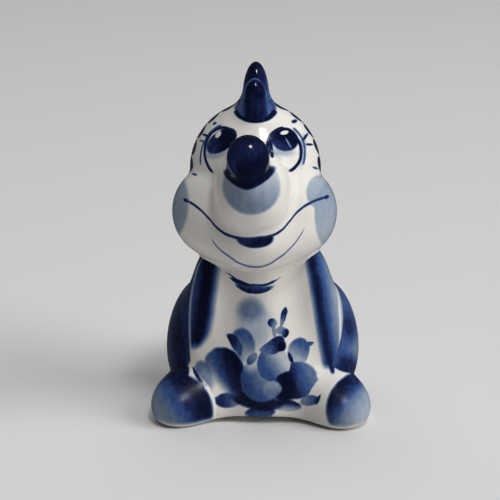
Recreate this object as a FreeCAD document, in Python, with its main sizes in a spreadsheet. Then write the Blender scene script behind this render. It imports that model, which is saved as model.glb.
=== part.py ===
"""A hollow porcelain figurine of a sitting dragonet, in millimetres.

It is made as a pottery makes one. A hollow body and a hollow head are cast apart, and the head is
set over a spigot on top of the body. Solid arms, haunches, feet, tail, nose and crest spines are
pressed apart and stuck on with slip, so each of them ends in a seat that follows the wall that
carries it. The figure faces -Y, its left side is at +X and it stands on the plane Z = 0, with the
origin on the body's axis.
"""
import FreeCAD, Part
import os
import re

doc = FreeCAD.newDocument("dragonet")

# Driving dimensions, in millimetres and degrees.
SIZES = {
    # the two hollow castings
    "wall": 3.0,
    "vent_bore": 3.0,
    "vent_behind_axis": 8.0,
    # the low arch under the front of the body, between the feet
    "arch_span": 30.0,
    "arch_rise": 2.0,
    "arch_reach": 5.0,
    # the body's oval sections: half sizes, how far back each lies, and its height
    "base_half_width": 21.6,
    "base_half_depth": 18.6,
    "base_back": 0.5,
    "belly_half_width": 22.0,
    "belly_half_depth": 19.0,
    "belly_back": 0.5,
    "belly_height": 8.0,
    "waist_half_width": 19.2,
    "waist_half_depth": 17.2,
    "waist_back": 1.0,
    "waist_height": 22.0,
    "chest_half_width": 15.6,
    "chest_half_depth": 14.4,
    "chest_back": 1.4,
    "chest_height": 34.0,
    "neck_half_width": 12.6,
    "neck_half_depth": 11.8,
    "neck_back": 1.2,
    "neck_height": 43.0,
    "spigot_length": 10.0,
    "spigot_taper": 1.4,
    # how far the head was set to the figure's right of the body's axis, by hand
    "head_off_axis": 2.0,
    # the head's lobes: half sizes, and where each lies from the middle of the neck
    "cranium_half_width": 17.3,
    "cranium_half_depth": 16.5,
    "cranium_half_height": 17.6,
    "cranium_above_neck": 21.5,
    "cranium_behind_neck": 0.8,
    "cheek_half_width": 11.4,
    "cheek_half_depth": 12.5,
    "cheek_half_height": 12.0,
    "cheek_above_neck": 11.5,
    "cheek_ahead_of_neck": 5.7,
    "cheek_off_middle": 10.2,
    "jaw_half_width": 13.5,
    "jaw_half_depth": 13.0,
    "jaw_half_height": 10.0,
    "jaw_above_neck": 7.0,
    "jaw_ahead_of_neck": 9.7,
    "muzzle_half_width": 10.2,
    "muzzle_half_depth": 15.5,
    "muzzle_half_height": 11.5,
    "muzzle_above_neck": 19.0,
    "muzzle_ahead_of_neck": 15.2,
    "muzzle_tilt_angle": 28.0,
    # the nose, whose middle lies past the muzzle's tip, above its tilted axis and a little aside
    "nose_half_width": 5.3,
    "nose_half_depth": 5.4,
    "nose_half_height": 5.8,
    "nose_past_tip": 0.9,
    "nose_above_axis": 4.3,
    "nose_aside": 0.9,
    # the limbs: half sizes, and where each stands on the body
    "arm_half_width": 4.4,
    "arm_half_depth": 5.8,
    "arm_half_length": 16.5,
    "arm_inside_chest": 0.3,
    "arm_below_neck": 15.0,
    "arm_ahead_of_axis": 6.5,
    "arm_splay_angle": 6.0,
    "haunch_half_width": 8.8,
    "haunch_half_depth": 13.0,
    "haunch_half_height": 16.5,
    "haunch_inside_waist": 2.0,
    "haunch_behind_axis": 3.0,
    "haunch_height": 17.5,
    "haunch_splay_angle": 8.0,
    "foot_half_width": 8.2,
    "foot_half_length": 10.5,
    "foot_half_height": 7.4,
    "foot_inside_belly": 1.2,
    "foot_behind_belly_front": 5.5,
    "foot_height": 4.0,
    "foot_turnout_angle": 10.0,
    # the tail, a tapering horn that leaves the belly's back and curls up
    "tail_root_radius": 6.4,
    "tail_tip_radius": 2.2,
    "tail_curl_radius": 12.0,
    "tail_curl_angle": 85.0,
    "tail_off_table": 0.6,
    # the crest: half sizes of each spine, how far its middle stands off the wall, and its lean
    "spine_lift": 1.0,
    "forehead_spine_half_width": 3.5,
    "forehead_spine_half_depth": 4.2,
    "forehead_spine_half_height": 7.4,
    "forehead_spine_place_angle": -19.0,
    "forehead_spine_lean_angle": -6.0,
    "crown_spine_half_width": 3.5,
    "crown_spine_half_depth": 5.0,
    "crown_spine_half_height": 9.4,
    "crown_spine_place_angle": 9.0,
    "crown_spine_lean_angle": 6.0,
    "occiput_spine_half_width": 3.2,
    "occiput_spine_half_depth": 4.6,
    "occiput_spine_half_height": 7.6,
    "occiput_spine_place_angle": 39.0,
    "occiput_spine_lean_angle": 36.0,
    "nape_spine_half_width": 2.9,
    "nape_spine_half_depth": 4.2,
    "nape_spine_half_height": 6.2,
    "nape_spine_place_angle": 68.0,
    "nape_spine_lean_angle": 66.0,
    "shoulder_spine_half_width": 2.6,
    "shoulder_spine_half_depth": 3.8,
    "shoulder_spine_half_height": 5.2,
    "shoulder_spine_lean_angle": 66.0,
    "rump_spine_half_width": 2.4,
    "rump_spine_half_depth": 3.4,
    "rump_spine_half_height": 4.4,
    "rump_spine_lean_angle": 74.0,
}

sheet = doc.addObject("Spreadsheet::Sheet", "sizes")
for row, (alias, value) in enumerate(SIZES.items(), start=1):
    sheet.set(f"A{row}", alias)
    sheet.set(f"B{row}", str(value))
    sheet.setAlias(f"B{row}", alias)
doc.recompute()

X_AXIS = FreeCAD.Vector(1, 0, 0)
Y_AXIS = FreeCAD.Vector(0, 1, 0)
Z_AXIS = FreeCAD.Vector(0, 0, 1)


def bind(feature, **properties):
    """Ties a feature's properties to the sheet. [alias] in an expression is that alias's cell."""
    for name, expression in properties.items():
        path = name.replace("__", ".")
        feature.setExpression(path, re.sub(r"\[(\w+)\]", r"sizes.\1", expression))
    return feature


def place(feature, x="0", y="0", z="0", axis=None, angle="0"):
    """Puts a feature at a point and turns it about an axis by an angle in degrees."""
    if axis is not None:
        feature.Placement = FreeCAD.Placement(FreeCAD.Vector(), FreeCAD.Rotation(axis, 1))
        bind(feature, Placement__Rotation__Angle=f"({angle}) * 1 deg")
    return bind(feature, Placement__Base__x=x, Placement__Base__y=y, Placement__Base__z=z)


def oval(name, half_width, half_depth, back, height):
    """A level ellipse, wider along X than along Y."""
    curve = doc.addObject("Part::Ellipse", name)
    bind(curve, MajorRadius=half_width, MinorRadius=half_depth)
    return place(curve, y=back, z=height)


def loft(name, sections):
    """A smooth solid through closed curves."""
    solid = doc.addObject("Part::Loft", name)
    solid.Sections = sections
    solid.Solid = True
    return solid


def ellipsoid(name, half_width, half_depth, half_height, **where):
    """A solid ellipsoid, its half sizes along X, Y and Z before it is turned."""
    solid = doc.addObject("Part::Ellipsoid", name)
    bind(solid, Radius1=half_height, Radius2=half_width, Radius3=half_depth)
    return place(solid, **where)


def fused(name, *features):
    """Several features as one solid."""
    whole = doc.addObject("Part::MultiFuse", name)
    whole.Shapes = list(features)
    return whole


def cut(name, base, *tools):
    """A feature with every tool taken out of it."""
    rest = doc.addObject("Part::Cut", name)
    rest.Base = base
    rest.Tool = tools[0] if len(tools) == 1 else fused(f"{name}_tools", *tools)
    return rest


def mirrored(name, source):
    """The same piece on the figure's other side."""
    other = doc.addObject("Part::Mirroring", name)
    other.Source = source
    other.Normal = X_AXIS
    return other


# Body: an oval bell with a floor, a vent through the floor and a spigot for the head.


def bell(name, inset, floor, top):
    """The body's form, drawn in by the inset, from the floor's height to the spigot's top."""
    ovals = []
    for level in ("base", "belly", "waist", "chest", "neck"):
        height = floor if level == "base" else f"[{level}_height]"
        half_sizes = [f"[{level}_half_{side}] - {inset}" for side in ("width", "depth")]
        ovals.append(oval(f"{name}_{level}", *half_sizes, f"[{level}_back]", height))
    half_sizes = [f"[neck_half_{side}] - [spigot_taper] - {inset}" for side in ("width", "depth")]
    ovals.append(oval(f"{name}_spigot", *half_sizes, "[neck_back]", top))
    return loft(name, ovals)


SPIGOT_TOP = "[neck_height] + [spigot_length]"
body_outside = bell("body_outside", "0", "0", SPIGOT_TOP)
body_inside = bell("body_inside", "[wall]", "[wall]", SPIGOT_TOP)

vent = doc.addObject("Part::Cylinder", "vent")
bind(vent, Radius="[vent_bore] / 2", Height="3 * [wall]")
place(vent, y="[vent_behind_axis]", z="-[wall]")

ARCH_RADIUS = "([arch_span] ^ 2 / 4 + [arch_rise] ^ 2) / (2 * [arch_rise])"
arch = doc.addObject("Part::Cylinder", "arch")
bind(arch, Radius=ARCH_RADIUS, Height="2 * [arch_reach]")
arch_back = "[base_back] - [base_half_depth] + [arch_reach]"
place(arch, y=arch_back, z=f"[arch_rise] - {ARCH_RADIUS}", axis=X_AXIS, angle="90")

body_shell = cut("body_shell", body_outside, body_inside, vent, arch)

# Head: a cranium, two cheeks, a jaw and a raised muzzle as one hollow casting.

HEAD_MIDDLE = "-[head_off_axis]"


def head_form(name, inset):
    """The head's lobes together, each drawn in by the inset."""
    lobes = []
    for lobe, side in (("cranium", 0), ("cheek", 1), ("cheek", -1), ("jaw", 0), ("muzzle", 0)):
        half_sizes = [f"[{lobe}_half_{edge}] - {inset}" for edge in ("width", "depth", "height")]
        where = {"x": HEAD_MIDDLE, "z": f"[neck_height] + [{lobe}_above_neck]"}
        where["y"] = f"[neck_back] - [{lobe}_ahead_of_neck]"
        if lobe == "cranium":
            where["y"] = "[neck_back] + [cranium_behind_neck]"
        if lobe == "cheek":
            where["x"] = f"{HEAD_MIDDLE} + {side} * [cheek_off_middle]"
        if lobe == "muzzle":
            where.update(axis=X_AXIS, angle="-[muzzle_tilt_angle]")
        lobes.append(ellipsoid(f"{name}_{lobe}", *half_sizes, **where))
    return fused(name, *lobes)


head_outside = head_form("head_outside", "0")
head_inside = head_form("head_inside", "[wall]")
head_shell = cut("head_shell", head_outside, head_inside, body_outside)

# Nose: an ovoid on the end of the muzzle.

PAST_TIP = "([muzzle_half_depth] + [nose_past_tip])"
TILT = "[muzzle_tilt_angle] * 1 deg"
nose_form = ellipsoid(
    "nose_form",
    "[nose_half_width]",
    "[nose_half_depth]",
    "[nose_half_height]",
    x=f"{HEAD_MIDDLE} - [nose_aside]",
    y="[neck_back] - [muzzle_ahead_of_neck]"
    f" - {PAST_TIP} * cos({TILT}) + [nose_above_axis] * sin({TILT})",
    z="[neck_height] + [muzzle_above_neck]"
    f" + {PAST_TIP} * sin({TILT}) + [nose_above_axis] * cos({TILT})",
)
nose = cut("nose", nose_form, head_outside)

# Limbs. What would reach below the table is cut off flat. The head is off the axis, so each arm
# gets its own cut by it, and the other limbs of the right side mirror those of the left.

table = doc.addObject("Part::Box", "table")
bind(table, Length="8 * [belly_half_width]", Width="8 * [belly_half_depth]", Height="[belly_height]")
place(table, x="-4 * [belly_half_width]", y="-4 * [belly_half_depth]", z="-[belly_height]")

haunch_form = ellipsoid(
    "haunch_form",
    "[haunch_half_width]",
    "[haunch_half_depth]",
    "[haunch_half_height]",
    x="[waist_half_width] - [haunch_inside_waist]",
    y="[haunch_behind_axis]",
    z="[haunch_height]",
    axis=Y_AXIS,
    angle="-[haunch_splay_angle]",
)
foot_form = ellipsoid(
    "foot_form",
    "[foot_half_width]",
    "[foot_half_length]",
    "[foot_half_height]",
    x="[belly_half_width] - [foot_inside_belly]",
    y="[belly_back] - [belly_half_depth] + [foot_behind_belly_front]",
    z="[foot_height]",
    axis=Z_AXIS,
    angle="[foot_turnout_angle]",
)
arm_form = ellipsoid(
    "arm_form",
    "[arm_half_width]",
    "[arm_half_depth]",
    "[arm_half_length]",
    x="[chest_half_width] - [arm_inside_chest]",
    y="-[arm_ahead_of_axis]",
    z="[neck_height] - [arm_below_neck]",
    axis=Y_AXIS,
    angle="-[arm_splay_angle]",
)
left_haunch = cut("left_haunch", haunch_form, body_outside, table)
left_foot = cut("left_foot", foot_form, body_outside, haunch_form, table)
left_arm = cut("left_arm", arm_form, body_outside, head_outside, haunch_form, foot_form)

right_haunch = mirrored("right_haunch", left_haunch)
right_foot = mirrored("right_foot", left_foot)
right_side = [mirrored(f"right_{form.Name}", form) for form in (arm_form, haunch_form, foot_form)]
right_arm = cut("right_arm", right_side[0], body_outside, head_outside, *right_side[1:])

# Tail: rings along an arc in the middle plane, closed by a round tip.

TAIL_RINGS = 4
TAIL_ROOT = "[belly_back] + [belly_half_depth]"


def on_curl(share):
    """Place and turn of the tail's ring at a share of its curl, from 0 at the root to 1."""
    angle = f"({share} * [tail_curl_angle])"
    y = f"{TAIL_ROOT} + [tail_curl_radius] * sin({angle} * 1 deg)"
    rise = f"[tail_curl_radius] * (1 - cos({angle} * 1 deg))"
    z = f"[tail_off_table] + [tail_root_radius] + {rise}"
    return {"y": y, "z": z, "axis": X_AXIS, "angle": f"{angle} - 90"}


def ring(name, radius, **where):
    """A circle across the tail's path."""
    circle = doc.addObject("Part::Circle", name)
    bind(circle, Radius=radius)
    return place(circle, **where)


buried = on_curl(0)
buried["y"] = f"{TAIL_ROOT} - 2 * [wall]"
rings = [ring("tail_buried_ring", "[tail_root_radius]", **buried)]
for step in range(TAIL_RINGS):
    share = step / (TAIL_RINGS - 1)
    radius = f"[tail_root_radius] + {share} * ([tail_tip_radius] - [tail_root_radius])"
    rings.append(ring(f"tail_ring_{step}", radius, **on_curl(share)))
tail_horn = loft("tail_horn", rings)
tail_end = doc.addObject("Part::Sphere", "tail_end")
bind(tail_end, Radius="[tail_tip_radius]")
place(tail_end, **on_curl(1))
tail = cut("tail", fused("tail_form", tail_horn, tail_end), body_outside, table)

# Crest: four spines over the crown and two down the back, each cut by the wall that it stands on.


def spine_form(name, x, y, z):
    """A blunt spine whose middle is lifted off the wall's point (x, y, z) along its own lean."""
    lean = f"[{name}_lean_angle] * 1 deg"
    half_sizes = [f"[{name}_half_{edge}]" for edge in ("width", "depth", "height")]
    return ellipsoid(
        f"{name}_form",
        *half_sizes,
        x=x,
        y=f"{y} + [spine_lift] * sin({lean})",
        z=f"{z} + [spine_lift] * cos({lean})",
        axis=X_AXIS,
        angle=f"-[{name}_lean_angle]",
    )


spines = []
spine_before = []
for name in ("forehead_spine", "crown_spine", "occiput_spine", "nape_spine"):
    round_crown = f"[{name}_place_angle] * 1 deg"
    middle = spine_form(
        name,
        HEAD_MIDDLE,
        f"[neck_back] + [cranium_behind_neck] + [cranium_half_depth] * sin({round_crown})",
        f"[neck_height] + [cranium_above_neck] + [cranium_half_height] * cos({round_crown})",
    )
    spines.append(cut(name, middle, head_outside, *spine_before))
    spine_before = [middle]
for name, level in (("shoulder_spine", "chest"), ("rump_spine", "waist")):
    middle = spine_form(name, "0", f"[{level}_back] + [{level}_half_depth]", f"[{level}_height]")
    spines.append(cut(name, middle, body_outside))

doc.recompute()

pieces = [body_shell, head_shell, nose, left_arm, right_arm, left_haunch, right_haunch]
pieces += [left_foot, right_foot, tail, *spines]
for feature in doc.Objects:
    if "Invalid" in feature.State or "Error" in feature.State:
        raise RuntimeError(f"{feature.Name} failed: {feature.State}")
for piece in pieces:
    if piece.Shape.isNull() or not piece.Shape.isValid() or len(piece.Shape.Solids) != 1:
        raise RuntimeError(f"{piece.Label} is not one sound solid")

os.makedirs("parts", exist_ok=True)
for piece in pieces:
    piece.Shape.exportStep(f"parts/{piece.Label}.step")
    box = piece.Shape.optimalBoundingBox()
    corners = [round(v, 2) for v in (box.XMin, box.YMin, box.ZMin, box.XMax, box.YMax, box.ZMax)]
    print(f"{piece.Label}: {piece.Shape.Volume:.0f} mm3, box {corners}")
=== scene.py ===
import math

import bpy
import numpy as np
from mathutils import Matrix, Vector


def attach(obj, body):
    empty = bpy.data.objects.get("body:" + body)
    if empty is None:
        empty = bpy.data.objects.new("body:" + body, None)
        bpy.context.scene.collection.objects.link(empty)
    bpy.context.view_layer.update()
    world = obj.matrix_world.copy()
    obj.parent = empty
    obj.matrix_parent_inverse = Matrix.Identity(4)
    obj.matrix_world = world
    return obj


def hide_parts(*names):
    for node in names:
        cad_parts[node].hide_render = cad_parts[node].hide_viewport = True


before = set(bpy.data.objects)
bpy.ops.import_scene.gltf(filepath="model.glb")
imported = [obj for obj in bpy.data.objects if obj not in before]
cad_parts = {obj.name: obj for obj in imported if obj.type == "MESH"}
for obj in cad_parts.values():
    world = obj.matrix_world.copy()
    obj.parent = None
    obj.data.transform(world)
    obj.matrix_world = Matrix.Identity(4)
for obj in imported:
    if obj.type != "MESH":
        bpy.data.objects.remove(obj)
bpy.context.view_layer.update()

# A glazed porcelain figurine of a sitting baby dragon, painted in cobalt blue.
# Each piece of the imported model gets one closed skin. The skins lie on one shared surface, so the
# pieces run into each other in soft fillets, as glaze does over clay pieces that are stuck together.
# Sizes are in millimetres and MM makes metres of them. Painted strokes are placed in picture pixels,
# 500 across, counted from the upper left, as they are seen from the camera's place.
MM = 0.001

# Camera
CAMERA_TARGET = (-3.35, 0.0, 42.5)
CAMERA_DISTANCE = 420.0
CAMERA_ELEVATION = 16.0
CAMERA_AZIMUTH = 2.0
MM_PER_PIXEL = 0.267
PICTURE_SIZE = 500.0
SENSOR_WIDTH = 36.0

elevation = math.radians(CAMERA_ELEVATION)
azimuth = math.radians(CAMERA_AZIMUTH)
BACK = Vector((
    math.sin(azimuth) * math.cos(elevation),
    -math.cos(azimuth) * math.cos(elevation),
    math.sin(elevation),
))
RIGHT = Vector((0, 0, 1)).cross(BACK).normalized()
UP = BACK.cross(RIGHT)
EYE = (Vector(CAMERA_TARGET) + CAMERA_DISTANCE * BACK) * MM
FOCAL_PIXELS = CAMERA_DISTANCE / MM_PER_PIXEL

# Form, in millimetres: x to the figure's left, y to its back, z up from the table
HEAD_X = -2.0
TORSO_LEVELS = (-6.0, 0.0, 8.0, 22.0, 34.0, 43.0, 53.0)
TORSO_HALF_WIDTHS = (21.4, 21.6, 22.0, 19.2, 15.6, 12.6, 11.2)
TORSO_HALF_DEPTHS = (18.4, 18.6, 19.0, 17.2, 14.4, 11.8, 10.4)
TORSO_CENTRES_Y = (0.5, 0.5, 0.5, 1.0, 1.4, 1.2, 1.2)
TORSO_TOP = 53.0
TORSO_STEEPNESS = 0.93
BASE_ROUNDING = 1.6
ARCH_SPAN = 30.0
ARCH_RISE = 2.0
ARCH_BACK = -13.1
ARCH_ROUNDING = 0.8
VENT_RADIUS = 1.5
VENT_Y = 8.0
VENT_DEPTH = 3.2
VENT_LIP = 0.4
TAIL_ROOT = (0.0, 19.4, 7.0)
TAIL_CURL = 12.0
TAIL_SWEEP = math.radians(85.0)
TAIL_ROOT_RADIUS = 6.4
TAIL_TIP_RADIUS = 2.2

# Each lobe is an ellipsoid: its middle, its half sizes, and its turn about one axis, in degrees
CRANIUM = ((HEAD_X, 2.0, 64.5), (17.3, 16.5, 17.6), "x", 0.0)
LEFT_CHEEK = ((HEAD_X + 10.2, -4.5, 54.5), (11.4, 12.5, 12.0), "x", 0.0)
RIGHT_CHEEK = ((HEAD_X - 10.2, -4.5, 54.5), (11.4, 12.5, 12.0), "x", 0.0)
JAW = ((HEAD_X, -8.5, 50.0), (13.5, 13.0, 10.0), "x", 0.0)
MUZZLE = ((HEAD_X, -14.0, 62.0), (10.2, 15.5, 11.5), "x", -28.0)
LOBES = {
    "nose": ((HEAD_X - 0.9, -26.46, 73.5), (5.3, 5.4, 5.8), "x", 0.0),
    "left_haunch": ((17.2, 3.0, 17.5), (8.8, 13.0, 16.5), "y", -8.0),
    "right_haunch": ((-17.2, 3.0, 17.5), (8.8, 13.0, 16.5), "y", 8.0),
    "left_foot": ((20.8, -13.0, 4.0), (8.2, 10.5, 7.4), "z", 10.0),
    "right_foot": ((-20.8, -13.0, 4.0), (8.2, 10.5, 7.4), "z", -10.0),
    "left_arm": ((15.3, -6.5, 28.0), (4.4, 5.8, 16.5), "y", -6.0),
    "right_arm": ((-15.3, -6.5, 28.0), (4.4, 5.8, 16.5), "y", 6.0),
    "forehead_spine": ((HEAD_X, -3.48, 82.14), (3.5, 4.2, 7.4), "x", 6.0),
    "crown_spine": ((HEAD_X, 4.69, 82.87), (3.5, 5.0, 9.4), "x", -6.0),
    "occiput_spine": ((HEAD_X, 12.97, 78.99), (3.2, 4.6, 7.6), "x", -36.0),
    "nape_spine": ((HEAD_X, 18.21, 71.5), (2.9, 4.2, 6.2), "x", -66.0),
    "shoulder_spine": ((0.0, 16.71, 34.41), (2.6, 3.8, 5.2), "x", -66.0),
    "rump_spine": ((0.0, 19.16, 22.28), (2.4, 3.4, 4.4), "x", -74.0),
}
CREST = ("forehead_spine", "crown_spine", "occiput_spine", "nape_spine")
# How wide the fillet is where a piece runs into what carries it
FILLETS = {
    "left_haunch": 3.0, "right_haunch": 3.0, "left_arm": 7.0, "right_arm": 7.0, "left_foot": 4.5,
    "right_foot": 4.5, "tail": 3.0, "shoulder_spine": 2.5, "rump_spine": 2.5,
}
FLANGE_FILLET = 9.0
CHEEK_FILLET = 1.6
JAW_FILLET = 5.0
MUZZLE_FILLET = 2.2
NOSE_FILLET = 2.6
CREST_FILLET = 4.0
SPINE_FILLET = 1.5
NECK_FILLET = 1.5
# A skin dips this way under its neighbours, past the crease
SINK_SLOPE = 0.09
SINK_SOFTNESS = 0.03
SINK_CURVE = 0.2
# Only forms that come this near a skin's rays, tried at every sixth one, take part in it
NEAR = 9.0
TRIED = 6
# Each ray is searched this many times its own length, by halving
RAY_REACH = 2.2
HALVINGS = 24
TINY = 1e-9
# Where the rays of the shells start, and their lengths along the axes
HEAD_MIDDLE = (HEAD_X, -7.0, 57.0)
HEAD_RAYS = (20.0, 22.0, 21.0)
BODY_MIDDLE = (0.0, 1.0, 20.0)
BODY_RAYS = (20.0, 18.0, 26.0)
# Rows and columns of the skins
BODY_GRID = (190, 300)
VENT_ROWS = 3
HEAD_GRID = (200, 320)
TAIL_GRID = (90, 80)
TAIL_CAP_SHARE = 5
LOBE_GRIDS = {
    "nose": (80, 110), "haunch": (160, 190), "foot": (150, 190), "arm": (160, 140), "spine": (70, 80),
}


def turn(axis, degrees):
    """Matrix of a turn about one axis."""
    return np.array(Matrix.Rotation(math.radians(degrees), 3, axis.upper()))


def lobe_distance(p, lobe):
    """Distance from an ellipsoid: k (k - 1) / g, with k the length of the local place over the half
    sizes and g its length over their squares."""
    centre, half, axis, degrees = lobe
    q = (p - np.array(centre)) @ turn(axis, degrees) / np.array(half)
    k = np.linalg.norm(q, axis=-1)
    g = np.linalg.norm(q / np.array(half), axis=-1)
    return k * (k - 1) / np.maximum(g, TINY)


def join(a, b, fillet):
    """The nearer of two distances, filled in by a quarter of fillet where they are equal."""
    h = np.maximum(fillet - np.abs(a - b), 0) / fillet
    return np.minimum(a, b) - h * h * fillet / 4


def through(levels, values, z):
    """A smooth curve through values at levels: cubic pieces with the slopes of the neighbours."""
    x = np.array(levels)
    y = np.array(values)
    slope = np.gradient(y, x)
    i = np.clip(np.searchsorted(x, z) - 1, 0, len(x) - 2)
    h = x[i + 1] - x[i]
    t = np.clip((z - x[i]) / h, 0, 1)
    rise = t * t * (3 - 2 * t)
    out = t * (1 - t) ** 2 * h * slope[i] - t * t * (1 - t) * h * slope[i + 1]
    return y[i] * (1 - rise) + y[i + 1] * rise + out


def torso_distance(p):
    """Distance from the bell: an oval at each level, its half sizes smooth curves of the height. The
    share by which a place lies past the oval is taken times the lesser half size and the bell's
    steepness."""
    z = p[..., 2]
    a = through(TORSO_LEVELS, TORSO_HALF_WIDTHS, z)
    b = through(TORSO_LEVELS, TORSO_HALF_DEPTHS, z)
    c = through(TORSO_LEVELS, TORSO_CENTRES_Y, z)
    k = np.hypot(p[..., 0] / a, (p[..., 1] - c) / b)
    return np.maximum((k - 1) * np.minimum(a, b) * TORSO_STEEPNESS, z - TORSO_TOP)


def head_distance(p):
    """Distance from the head: cranium, cheeks, jaw and muzzle, joined in fillets."""
    d = join(lobe_distance(p, CRANIUM), lobe_distance(p, LEFT_CHEEK), CHEEK_FILLET)
    d = join(d, lobe_distance(p, RIGHT_CHEEK), CHEEK_FILLET)
    d = join(d, lobe_distance(p, JAW), JAW_FILLET)
    return join(d, lobe_distance(p, MUZZLE), MUZZLE_FILLET)


def tail_place(angle):
    """Middle of the tail at an angle of its curl, which is a circle's arc upwards from the root."""
    x, y, z = TAIL_ROOT
    y = y + TAIL_CURL * np.sin(angle)
    z = z + TAIL_CURL * (1 - np.cos(angle))
    return np.stack([np.full_like(y, x), y, z], -1)


def tail_distance(p):
    """Distance from the tail: from the nearest place of its arc, less a radius that shrinks evenly."""
    _, y, z = TAIL_ROOT
    angle = np.clip(np.arctan2(p[..., 1] - y, z + TAIL_CURL - p[..., 2]), 0, TAIL_SWEEP)
    radius = TAIL_ROOT_RADIUS + (TAIL_TIP_RADIUS - TAIL_ROOT_RADIUS) * angle / TAIL_SWEEP
    return np.linalg.norm(p - tail_place(angle), axis=-1) - radius


FORMS = {"body_shell": torso_distance, "head_shell": head_distance, "tail": tail_distance}
NAMES = list(FORMS) + list(LOBES)


def form_distance(name, p):
    """Distance from one piece's own form."""
    return FORMS[name](p) if name in FORMS else lobe_distance(p, LOBES[name])


def whole(d, p):
    """Distance from the whole figure: all pieces joined, cut off softly at the table and by the arch
    under the belly. A piece that is missing from d is far away."""
    body = d["body_shell"]
    for name, fillet in FILLETS.items():
        if name in d:
            body = join(body, d[name], fillet)
    for name in ("left_foot", "right_foot"):
        if name in d:
            body = np.minimum(body, join(d["body_shell"], d[name], FLANGE_FILLET))
    total = body
    if "head_shell" in d:
        head = d["head_shell"]
        if "nose" in d:
            head = join(head, d["nose"], NOSE_FILLET)
        spines = [d[name] for name in CREST if name in d]
        if spines:
            crest = spines[0]
            for spine in spines[1:]:
                crest = join(crest, spine, SPINE_FILLET)
            head = join(head, crest, CREST_FILLET)
        total = join(body, head, NECK_FILLET)
    z = p[..., 2]
    arch_radius = (ARCH_SPAN ** 2 / 4 + ARCH_RISE ** 2) / (2 * ARCH_RISE)
    arch = np.hypot(p[..., 0], z - ARCH_RISE + arch_radius) - arch_radius
    arch = np.maximum(arch, p[..., 1] - ARCH_BACK)
    solid = -join(-total, arch, ARCH_ROUNDING)
    return -join(-solid, z, BASE_ROUNDING)


def skin(name, origin, direction):
    """Places on one piece's skin, along directions from origins: where the whole figure's distance,
    plus a dip that grows with how far the piece lies behind its nearest neighbour, is nought."""
    coarse = origin + direction
    near = [n for n in NAMES if form_distance(n, coarse[::TRIED, ::TRIED]).min() < NEAR]
    near = list(dict.fromkeys(["body_shell", name] + near))

    def dipped(t):
        p = origin + t[..., None] * direction
        d = {n: form_distance(n, p) for n in near}
        others = np.min([d[n] for n in near if n != name], axis=0)
        s = d[name] - others
        dip = SINK_SLOPE * (s + np.sqrt(s * s + SINK_SOFTNESS ** 2)) / 2
        return whole(d, p) + dip + SINK_CURVE * np.maximum(s, 0) ** 2

    low = np.zeros(direction.shape[:-1])
    high = np.full(direction.shape[:-1], RAY_REACH)
    for _ in range(HALVINGS):
        middle = (low + high) / 2
        inside = dipped(middle) < 0
        low = np.where(inside, middle, low)
        high = np.where(inside, high, middle)
    return origin + ((low + high) / 2)[..., None] * direction


def ball(rows, columns):
    """Places of a unit ball: rows from the lower pole to the upper one, columns round it."""
    v = np.linspace(0, math.pi, rows)[:, None]
    u = np.linspace(0, 2 * math.pi, columns, endpoint=False)[None, :]
    return np.stack([np.sin(v) * np.cos(u), np.sin(v) * np.sin(u), -np.cos(v) + 0 * u], -1)


def build(name, places):
    """One closed mesh from rows of places. The first and last rows are poles, kept as one point."""
    rows, columns, _ = places.shape
    inner = places[1:-1].reshape(-1, 3)
    points = np.concatenate([places[:1, 0], inner, places[-1:, 0]]) * MM
    grid = np.arange(1, 1 + (rows - 2) * columns).reshape(rows - 2, columns)
    ahead = np.roll(grid, -1, axis=1)
    quads = np.stack([grid[:-1], ahead[:-1], ahead[1:], grid[1:]], -1).reshape(-1, 4)
    low = np.stack([np.zeros(columns, int), ahead[0], grid[0]], -1)
    high = np.stack([np.full(columns, len(points) - 1), grid[-1], ahead[-1]], -1)
    mesh = bpy.data.meshes.new(name)
    mesh.vertices.add(len(points))
    mesh.vertices.foreach_set("co", points.astype(np.float32).ravel())
    corners = np.concatenate([quads.ravel(), low.ravel(), high.ravel()])
    sizes = np.concatenate([np.full(len(quads), 4), np.full(2 * columns, 3)])
    starts = np.concatenate([[0], np.cumsum(sizes)[:-1]])
    mesh.loops.add(len(corners))
    mesh.loops.foreach_set("vertex_index", corners.astype(np.int32))
    mesh.polygons.add(len(sizes))
    mesh.polygons.foreach_set("loop_start", starts.astype(np.int32))
    mesh.polygons.foreach_set("use_smooth", np.ones(len(sizes), bool))
    mesh.update(calc_edges=True)
    mesh.validate()
    piece = bpy.data.objects.new(name + "_skin", mesh)
    bpy.context.scene.collection.objects.link(piece)
    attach(piece, "root")
    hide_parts(name)
    return piece


def lobe_piece(name, rows, columns):
    """Skin of an ellipsoid piece: rays from its middle through its own latitudes and longitudes."""
    centre, half, axis, degrees = LOBES[name]
    direction = (ball(rows, columns) * np.array(half)) @ turn(axis, degrees).T
    return build(name, skin(name, np.array(centre), direction))


def head_piece(rows, columns):
    """Skin of the head: rays from a place inside it, spread as on a ball with upright poles."""
    direction = ball(rows, columns) * np.array(HEAD_RAYS)
    return build("head_shell", skin("head_shell", np.array(HEAD_MIDDLE), direction))


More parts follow.
